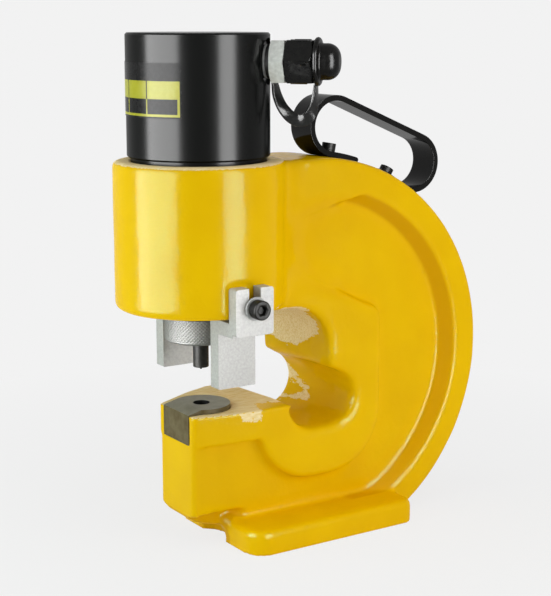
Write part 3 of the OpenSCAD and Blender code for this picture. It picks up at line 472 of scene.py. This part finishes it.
# Regions with soft borders: each measure's low and high limit, and how far it fades outside them
REGIONS = {
    "jaw_top": {"z": (95.5, 98, 1.5), "x": (-22, 60, 5)},
    "jaw_front": {"z": (21, 98, 3), "x": (-60, 24, 12)},
    "die_seat": {"from_axis": (0, 25, 2), "z": (70, 98, 2)},
    "barrel_bore": {"from_axis": (0, 49, 3), "z": (160, 271, 2)},
    "foot_base": {"z": (-1, 0.6, 1.5)},
    "belly": {"x": (-60, 12, 10)},
    "pocket": {"from_back": (0, 104, 6), "x": (14, 160, 10)},
    "pocket_wall": {"from_back": (110, 130, 4)},
    "throat": {"z": (80, 152, 26), "x": (60, 110, 24)},
    "ridge": {"from_ridge": (0, 10, 6)},
    "border_end": {"x": (52, 96, 10), "z": (178, 236, 10)},
    "barrel_root": {"from_axis": (55, 70, 6), "z": (176, 266, 3)},
    # where painted shade darkens the coat: on the pocket's wall and on the belly's sides under the jaw
    "painted_shade_on_wall": {"from_back": (112, 127, 2), "off_middle_near": (22.5, 30, 1.5), "x": (88, 300, 20)},
    "painted_shade_under_jaw": {"x": (-60, 18, 8), "z": (0, 24, 1)},
}

# Worn or unpainted areas, as outlines: on the jaw's top (x, y), on its near side (x, z), and on the
# throat's two rounds (length round the wall, y)
JAW_TOP_BARE = ((-40, -60), (29, -60), (30, -27), (36, -14), (44, -15), (62, -22), (70, 70), (-40, 70))
JAW_SIDE_BARE = ((13, 98), (15, 91.5), (22, 90), (26, 87.5), (30, 92), (31, 98))
UPPER_ROUND_BARE = ((-1, 50), (-3, 36), (-6, 20), (-3.5, 8), (2, -4), (9, -17), (20, -22), (27, -16),
                    (31, -22), (40, -34), (60, -34), (60, 50), (20, 56))
LOWER_ROUND_BARE = ((20, 60), (20, 52), (9, 44), (5.5, 39), (0.5, 35.5), (-4, 29), (-7, 22), (-14.5, 18),
                    (-15.5, 26), (-18, 36), (-19.5, 52), (-18.5, 52), (-16.5, 36), (-14, 27), (-13, 20.5),
                    (-8, 24), (-4, 33), (-1.5, 44), (-0.5, 60))
# The throat's rounds: centre's x and z, radius, least x, the bare outline and how far that is widened
ROUNDS = (
    (56.5, 134, 31.5, 34, UPPER_ROUND_BARE, 0),
    (89.7, 97, 20.3, 80, LOWER_ROUND_BARE, 1.2),
)


def voxel_copy(node, voxel):
    """A CAD node's shape as a mesh with an even net of squares."""
    raw = turned_into_mesh(welded_copy(node), "raw")
    holder = bpy.data.objects.new("raw", raw)
    bpy.context.scene.collection.objects.link(holder)
    remesh = holder.modifiers.new("net", "REMESH")
    remesh.mode, remesh.voxel_size, remesh.use_smooth_shade = "VOXEL", voxel, True
    graph = bpy.context.evaluated_depsgraph_get()
    mesh = bpy.data.meshes.new_from_object(holder.evaluated_get(graph))
    bpy.data.objects.remove(holder)
    return mesh


def net_arrays(mesh):
    """A mesh's points and the ends of its edges."""
    points = np.empty(len(mesh.vertices) * 3)
    mesh.vertices.foreach_get("co", points)
    edges = np.empty(len(mesh.edges) * 2, int)
    mesh.edges.foreach_get("vertices", edges)
    return points.reshape(-1, 3), edges.reshape(-1, 2)


def set_points(mesh, points):
    """Moves a mesh's points, and returns the new normals."""
    mesh.vertices.foreach_set("co", points.ravel())
    mesh.update()
    normals = np.empty(points.size)
    mesh.vertices.foreach_get("normal", normals)
    return normals.reshape(-1, 3)


def set_attribute(mesh, name, values):
    mesh.attributes.new(name, "FLOAT", "POINT").data.foreach_set("value", values)


def measure(points):
    """The measures in mm by which regions of the frame are told."""
    x, y, z = (points / MM - (AXIS.x / MM, 0, 0)).T
    return {
        "x": x, "y": y, "z": z,
        "off_middle": np.abs(y),
        "off_middle_near": np.where(y < 0, -y, np.clip(y, 0, 29)),     # at most 29 on the far side
        "from_axis": np.hypot(x, y),
        "from_back": np.hypot(x - BACK[0], z - BACK[1]),
        "from_ridge": np.hypot(x - RIDGE[0], z - RIDGE[1]),
    }


def within(value, low, high, fade):
    """1 between low and high, falling to 0 over the fade outside them."""
    return np.clip((value - low) / fade + 1, 0, 1) * np.clip((high - value) / fade + 1, 0, 1)


def region(place, name):
    """How far points lie in one of the regions, from 0 to 1."""
    return math.prod(within(place[key], *limits) for key, limits in REGIONS[name].items())


def box(place, **limits):
    """Whether points lie between the low and high limits of some measures."""
    return np.logical_and.reduce([
        (place[key] > low) & (place[key] < high) for key, (low, high) in limits.items()])


def smooth_points(points, edges, weights, rounds):
    """Moves each point towards the middle of its neighbours, by its weight, some rounds long."""
    count = len(points)
    ends = np.concatenate([edges[:, 0], edges[:, 1]])
    others = np.concatenate([edges[:, 1], edges[:, 0]])
    degree = np.bincount(ends, minlength=count)[:, None]
    for _ in range(rounds):
        middle = np.stack([np.bincount(ends, points[others, k], count) for k in range(3)], 1) / degree
        points += (middle - points) * weights[:, None]


def blurred_height(u, v, height, reach):
    """Heights over a plane of points (u, v), blurred over a reach in mm."""
    cell = 1.5
    left, low = u.min() - 1, v.min() - 1
    column, row = ((u - left) / cell).astype(int), ((v - low) / cell).astype(int)
    shape = (column.max() + 2, row.max() + 2)
    total, count = np.zeros(shape), np.zeros(shape)
    np.add.at(total, (column, row), height)
    np.add.at(count, (column, row), 1)
    known = (count > 0).astype(float)
    total = total / np.maximum(count, 1)
    most_steps = math.ceil(2.5 * reach / cell)
    steps = np.arange(-most_steps, most_steps + 1)
    bell = np.exp(-(steps * cell / reach) ** 2 / 2)

    def blur(grid):
        for axis in (0, 1):
            grid = np.apply_along_axis(lambda line: np.convolve(line, bell, "same"), axis, grid)
        return grid

    smooth = blur(total) / np.maximum(blur(known), 1e-6)
    # between the cells' middles
    cu, cv = (u - left) / cell - 0.5, (v - low) / cell - 0.5
    i, j = np.clip(cu.astype(int), 0, shape[0] - 2), np.clip(cv.astype(int), 0, shape[1] - 2)
    s, t = cu - i, cv - j
    return ((1 - s) * (1 - t) * smooth[i, j] + s * (1 - t) * smooth[i + 1, j]
            + (1 - s) * t * smooth[i, j + 1] + s * t * smooth[i + 1, j + 1])


def inside_by(u, v, outline):
    """How far points lie inside a closed outline, negative outside."""
    distance = np.full(len(u), 1e9)
    inside = np.zeros(len(u), bool)
    for (u1, v1), (u2, v2) in zip(outline, outline[1:] + outline[:1]):
        du, dv = u2 - u1, v2 - v1
        along = np.clip(((u - u1) * du + (v - v1) * dv) / (du * du + dv * dv), 0, 1)
        distance = np.minimum(distance, np.hypot(u - u1 - along * du, v - v1 - along * dv))
        if v1 != v2:
            inside ^= ((v1 > v) != (v2 > v)) & (u < du * (v - v1) / dv + u1)
    return np.where(inside, distance, -distance)


def form_casting(points, edges, place, machined):
    """Moves points from the CAD's plain form to that of a casting; machined ones keep their place."""
    y, z, off_middle, from_axis = (place[key] for key in ("y", "z", "off_middle", "from_axis"))
    cast = 1 - machined

    # the belly under the jaw is narrower than the jaw and stops short of the foot's underside
    foot_front = box(place, z=(-1, 17.4), x=(8.5, 300)) & (from_axis > 17)
    belly = region(place, "belly") * (z < 24.6) * (off_middle < 21.5) * ~foot_front
    points[:, 1] *= 1 - BELLY_NARROWED * belly
    points[:, 2] += (JAW_UNDER - z) * MM * BELLY_RAISED * belly
    smooth_points(points, edges, 0.5 * (1 - 0.9 * machined), 10)

    # the pocket's floor and wall turn softly into what is round them
    smooth_points(points, edges, 0.5 * region(place, "pocket") * cast * (off_middle > 19), 45)
    smooth_points(points, edges, 0.5 * region(place, "pocket_wall") * cast * (place["x"] > 20), 5)

    # the throat is less deep towards the far side
    points[:, 0] -= THROAT_SHIFT * MM * np.clip((y + 6) / 54, 0, 1) * region(place, "throat")

    # the ridge between the throat's two rounds dies out towards the far side
    ridge = region(place, "ridge") * np.clip((y + 22) / 30, 0, 1) * (off_middle < 47)
    smooth_points(points, edges, 0.5 * ridge, 60)

    # the border sinks softly into the web beside the barrel
    sunk = region(place, "border_end") * (off_middle > 17) * (from_axis > 57)
    for side in (-1, 1):
        there = (y * side > 18) & box(place, x=(30, 140), z=(140, 268))
        height = blurred_height(place["x"][there], z[there], points[there, 1] / MM, 8)
        points[there, 1] += (height * MM - points[there, 1]) * sunk[there]
    smooth_points(points, edges, 0.5 * sunk, 25)
    root = region(place, "barrel_root") * (place["x"] > 30) * (off_middle > 14)
    smooth_points(points, edges, 0.5 * root, 80)


def add_waves(points, normals, share):
    """Moves points in and out, because cast surfaces are never quite flat."""
    long_wave, short_wave, height = 24 * MM, 9 * MM, 0.16 * MM
    waves = np.array([
        noise.noise(Vector(p) / long_wave) + 0.4 * noise.noise(Vector(p) / short_wave) for p in points])
    points += normals * (waves * height * share)[:, None]


def inside_bare_areas(place, normals):
    """How far each point lies inside a machined or worn area, in mm."""
    x, y, z = place["x"], place["y"], place["z"]
    bare = np.full(len(x), -float(FAR))
    faces_up, faces_down, faces_near = normals[:, 2] > 0.7, normals[:, 2] < -0.7, normals[:, 1] < -0.6
    jaw_top = (np.abs(z - JAW_TOP) < 0.9) & faces_up & (x < 75)
    bare[jaw_top] = inside_by(x[jaw_top], y[jaw_top], JAW_TOP_BARE)
    jaw_side = box(place, x=(5, 40), z=(88, JAW_TOP)) & (y < -20) & faces_near
    bare[jaw_side] = inside_by(x[jaw_side], z[jaw_side], JAW_SIDE_BARE)
    for centre_x, centre_z, radius, least_x, outline, widened in ROUNDS:
        off_wall = np.abs(np.hypot(x - centre_x, z - centre_z) - radius)
        wall = (off_wall < 1.5) & (np.abs(normals[:, 1]) < 0.75) & (x > least_x)
        around = np.arctan2(z - centre_z, x - centre_x) * radius
        bare[wall] = inside_by(around[wall], y[wall], outline) + widened
    bare[(np.abs(z - CROWN) < 0.9) & faces_up & (place["from_axis"] < 57.5)] = FAR
    bare[box(place, z=(168.5, 171)) & faces_down & (place["from_axis"] < 54)] = FAR
    return np.clip(bare, -FAR, FAR)


def make_casting():
    """The frame as a casting: cast edges and corners rounded, machined faces crisp."""
    mesh = voxel_copy("c_frame", 1.15 * MM)
    points, edges = net_arrays(mesh)
    place = measure(points)
    machined = np.maximum.reduce([
        region(place, "jaw_top"), 0.75 * region(place, "jaw_front"), region(place, "die_seat"),
        region(place, "barrel_bore"), region(place, "foot_base")])
    form_casting(points, edges, place, machined)
    normals = set_points(mesh, points)
    add_waves(points, normals, 1 - machined)
    # the milled flats that the strippers slide on stay clear of them
    flats = box(place, x=(-13, 19), z=(165, 193.2)) & (place["off_middle"] > 53)
    points[flats, 1] = np.clip(points[flats, 1], -FLAT_REACH * MM, FLAT_REACH * MM)
    set_points(mesh, points)
    set_attribute(mesh, "bare", inside_bare_areas(place, normals) * MM)
    # painted shade, kept in the attribute thick: the pocket's wall and the belly's sides under the jaw
    under_jaw = region(place, "painted_shade_under_jaw") * (place["off_middle"] < 22)
    set_attribute(mesh, "thick", np.maximum(region(place, "painted_shade_on_wall"), under_jaw))
    mesh.shade_smooth()
    mesh.materials.clear()
    add_piece(mesh, "frame_casting", "frame_body", "yellow_enamel", "c_frame")


# The other pieces with a form of their own

def revolved(name, rows, steps, shift):
    """A ring about the punch's axis, from a closed outline of rows (radius, height) in mm.

    shift(turns, row) gives how much further out a row stands at each of the turns.
    """
    turns = np.arange(steps) * 2 * math.pi / steps
    vertices = []
    for index, (radius, height) in enumerate(rows):
        reach = radius + shift(turns, index)
        vertices.append(np.stack([AXIS.x + reach * MM * np.cos(turns), reach * MM * np.sin(turns),
                                  np.full(steps, height * MM)], 1))
    faces = []
    for row in range(len(rows)):
        this, other = row * steps, (row + 1) % len(rows) * steps
        for step in range(steps):
            beside = (step + 1) % steps
            faces.append((this + step, this + beside, other + beside, other + step))
    mesh = bpy.data.meshes.new(name)
    mesh.from_pydata(np.concatenate(vertices).tolist(), [], faces)
    mesh.update()
    return mesh


def make_knurled_nut():
    """The nut that holds the punch, with a diamond knurl cut into its side."""
    low, high, radius, pitch, depth = 146.0, 163.98, 25.0, 2.5, 0.6
    bore, hollow, floor = 5.8, 18.0, 4         # the punch's hole, the room over it and the floor between
    rim, row_step, steps_per_knurl = 1.5, 0.21, 6
    knurls = round(2 * math.pi * radius / pitch)
    band = np.arange(low + rim, high - rim, row_step)
    chamfer = ((radius - 1.3, 0), (radius - 0.3, 1.1))
    rows = [(bore, low)] + [(reach, low + rise) for reach, rise in chamfer]
    first = len(rows)
    rows += [(radius, height) for height in band]
    last = len(rows)
    rows += [(reach, high - rise) for reach, rise in reversed(chamfer)]
    rows += [(hollow, high), (hollow, low + floor), (bore, low + floor)]

    def knurl(turns, index):
        if not first <= index < last:
            return np.zeros(len(turns))
        climb = (band[index - first] - low) / pitch
        shares = [np.abs(((turns / (2 * math.pi) * knurls + way * climb) % 1) * 2 - 1) for way in (1, -1)]
        return -depth * (1 - np.minimum(*shares))

    mesh = revolved("knurled_nut", rows, knurls * steps_per_knurl, knurl)
    shade(mesh, 50)
    add_piece(mesh, "knurled_nut", "ram_and_punch", "knurled_steel", "punch_nut")


def make_label():
    """A bare data plate: a black ground and an empty table in yellow."""
    start, end, low, high = 135.5, 227.2, 300.5, 336.0         # its corners, in degrees and mm
    outer_radius, inner_radius, mean_step = 48.82, 48.52, 2
    line = math.degrees(1.0 / 48.8)                            # the width of a line of 1 mm, in degrees
    uprights = [(angle - line / 2, angle + line / 2) for angle in (153.5, 171.6, 197.0)]
    frame_left, frame_right = (start + line, start + 2.6 * line), (end - 2.6 * line, end - line)
    bottom, under_head, head = (301.6, 303.2), 312.9, 324.4    # heights of the table's lines
    borders = {start, end, *frame_left, *frame_right, *(angle for upright in uprights for angle in upright)}
    angles = []
    for one, two in zip(sorted(borders), sorted(borders)[1:]):
        parts = max(1, round((two - one) / mean_step))
        angles += [one + (two - one) * k / parts for k in range(parts)]
    angles.append(end)
    levels = [low, *bottom, under_head, head, high]

    def is_yellow(angle, level):
        if not (frame_left[0] < angle < frame_right[1] and bottom[0] < level < head):
            return False
        on_upright = any(left < angle < right for left, right in uprights)
        if level > under_head:
            return not on_upright
        return on_upright or level < bottom[1] or angle < frame_left[1] or angle > frame_right[0]

    shape = bmesh.new()

    def corner(radius, angle, level):
        turn, reach = math.radians(angle), radius * MM
        return shape.verts.new((AXIS.x + reach * math.cos(turn), reach * math.sin(turn), level * MM))

    outer = [[corner(outer_radius, angle, level) for level in levels] for angle in angles]
    inner = [[corner(inner_radius, angle, level) for level in levels] for angle in angles]
    for i in range(len(angles) - 1):
        for j in range(len(levels) - 1):
            face = shape.faces.new((outer[i][j], outer[i + 1][j], outer[i + 1][j + 1], outer[i][j + 1]))
            middle = (angles[i] + angles[i + 1]) / 2, (levels[j] + levels[j + 1]) / 2
            face.material_index = int(is_yellow(*middle))
            shape.faces.new((inner[i][j], inner[i][j + 1], inner[i + 1][j + 1], inner[i + 1][j]))
        for j in (0, -1):
            shape.faces.new((outer[i][j], inner[i][j], inner[i + 1][j], outer[i + 1][j]))
    for i in (0, -1):
        for j in range(len(levels) - 1):
            shape.faces.new((outer[i][j], outer[i][j + 1], inner[i][j + 1], inner[i][j]))
    bmesh.ops.recalc_face_normals(shape, faces=shape.faces)
    mesh = turned_into_mesh(shape, "label")
    shade(mesh, 40)
    mesh.materials.append(FINISHES["label_black"])
    mesh.materials.append(FINISHES["label_yellow"])
    add_piece(mesh, "blank_label", "frame_body", "plate_print", "data_plate")


def smooth_path(stations, steps):
    """Points of a smooth curve through stations, some steps from each to the next."""
    path = [Vector(station) for station in stations]
    points = []
    for i in range(len(path) - 1):
        before, a, b, after = path[max(i - 1, 0)], path[i], path[i + 1], path[min(i + 2, len(path) - 1)]
        for k in range(steps):
            t = k / steps
            points.append(0.5 * (2 * a + (b - before) * t + (2 * before - 5 * a + 4 * b - after) * t * t
                                 + (3 * a - before - 3 * b + after) * t ** 3))
    return points + [path[-1]]


def rounded_section(width, thick, corner):
    """The outline of a flat strap, with rounded corners."""
    right, top = width / 2 - corner, thick / 2 - corner
    section = []
    for x, y, first in ((right, top, 0), (-right, top, 90), (-right, -top, 180), (right, -top, 270)):
        turns = [math.radians(first + step) for step in (0, 30, 60, 90)]
        section += [(x + corner * math.cos(turn), y + corner * math.sin(turn)) for turn in turns]
    return section


def make_tether():
    """The cap's flat rubber tether, twisted on its way from the coupling's neck to the cap."""
    outwards = Vector((math.sqrt(0.5), -math.sqrt(0.5), 0))
    across = Vector((math.sqrt(0.5), math.sqrt(0.5), 0))
    # distance along the coupling and height in mm, and twist in degrees
    stations = ((49.5, 326.0, 0), (52.3, 322.5, 8), (54.2, 314, 28), (57.8, 306, 42), (63.5, 299.6, 62),
                (69.5, 297.2, 85), (75.0, 299.2, 112), (78.2, 305, 140), (79.6, 312, 165), (80.2, 318.5, 178),
                (80.4, 321.2, 180))
    points = smooth_path(stations, 8)
    section = rounded_section(width=8.2, thick=2.0, corner=0.5)
    shape = bmesh.new()
    rings = []
    for i, (along, height, twist) in enumerate(points):
        ahead, behind = points[min(i + 1, len(points) - 1)], points[max(i - 1, 0)]
        tangent = (outwards * (ahead[0] - behind[0]) + UP * (ahead[1] - behind[1])).normalized()
        normal = tangent.cross(across).normalized()
        turn = math.radians(twist)
        wide = across * math.cos(turn) + normal * math.sin(turn)
        flat = tangent.cross(wide).normalized()
        centre = AXIS + (outwards * along + UP * height) * MM
        rings.append([shape.verts.new(centre + (wide * a + flat * b) * MM) for a, b in section])
    for one, two in zip(rings, rings[1:]):
        join_loops(shape, one, two)
    shape.faces.new(rings[0])
    shape.faces.new(reversed(rings[-1]))

    # the ring on the coupling's neck, by its section's distances along the coupling and from its middle
    neck = AXIS + UP * 336 * MM
    profile = ((48.15, 9.1), (48.15, 11.2), (48.4, 11.6), (50.6, 11.6), (50.85, 11.2), (50.85, 9.1))
    ring_steps = 48
    loops = []
    for k in range(ring_steps):
        turn = k * 2 * math.pi / ring_steps
        outward = UP * math.cos(turn) + across * math.sin(turn)
        loops.append([shape.verts.new(neck + (outwards * a + outward * b) * MM) for a, b in profile])
    for one, two in zip(loops, loops[1:] + loops[:1]):
        join_loops(shape, one, two)
    bmesh.ops.recalc_face_normals(shape, faces=shape.faces)
    mesh = turned_into_mesh(shape, "tether")
    shade(mesh, 50)
    # the real tether's outer half follows the cap when the cap is pulled off; this piece rides on no body
    piece = add_piece(mesh, "twisted_tether", None, "tether_rubber", "cap_tether")
    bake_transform(piece)


def make_spring():
    """The return spring, as a plain copy of its CAD node; the real one is pressed together as the ram goes
    down.
    """
    mesh = frame["nodes"]["return_spring"].data.copy()
    mesh.materials.clear()
    piece = add_piece(mesh, "return_coil", "frame_body", slot_of_node("return_spring"), "return_spring")
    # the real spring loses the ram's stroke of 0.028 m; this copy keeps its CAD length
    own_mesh(piece)


BEVELLED = (
    "cylinder_cup", "punch", "die", "stripper_near", "stripper_far", "stripper_screws", "stripper_washers",
    "handle_strap", "handle_screws", "port_seal", "hose_adapter", "coupler_body", "dust_cap",
)

make_casting()
make_spring()
make_knurled_nut()
make_label()
make_tether()
for cad_node in BEVELLED:
    bevelled_piece(cad_node)
for cad_node, shown in frame["nodes"].items():
    if not shown.hide_render:
        shown.data.materials.clear()
        shown.data.materials.append(FINISHES[slot_of_node(cad_node)])

bpy.context.scene.view_settings.view_transform = "Standard"
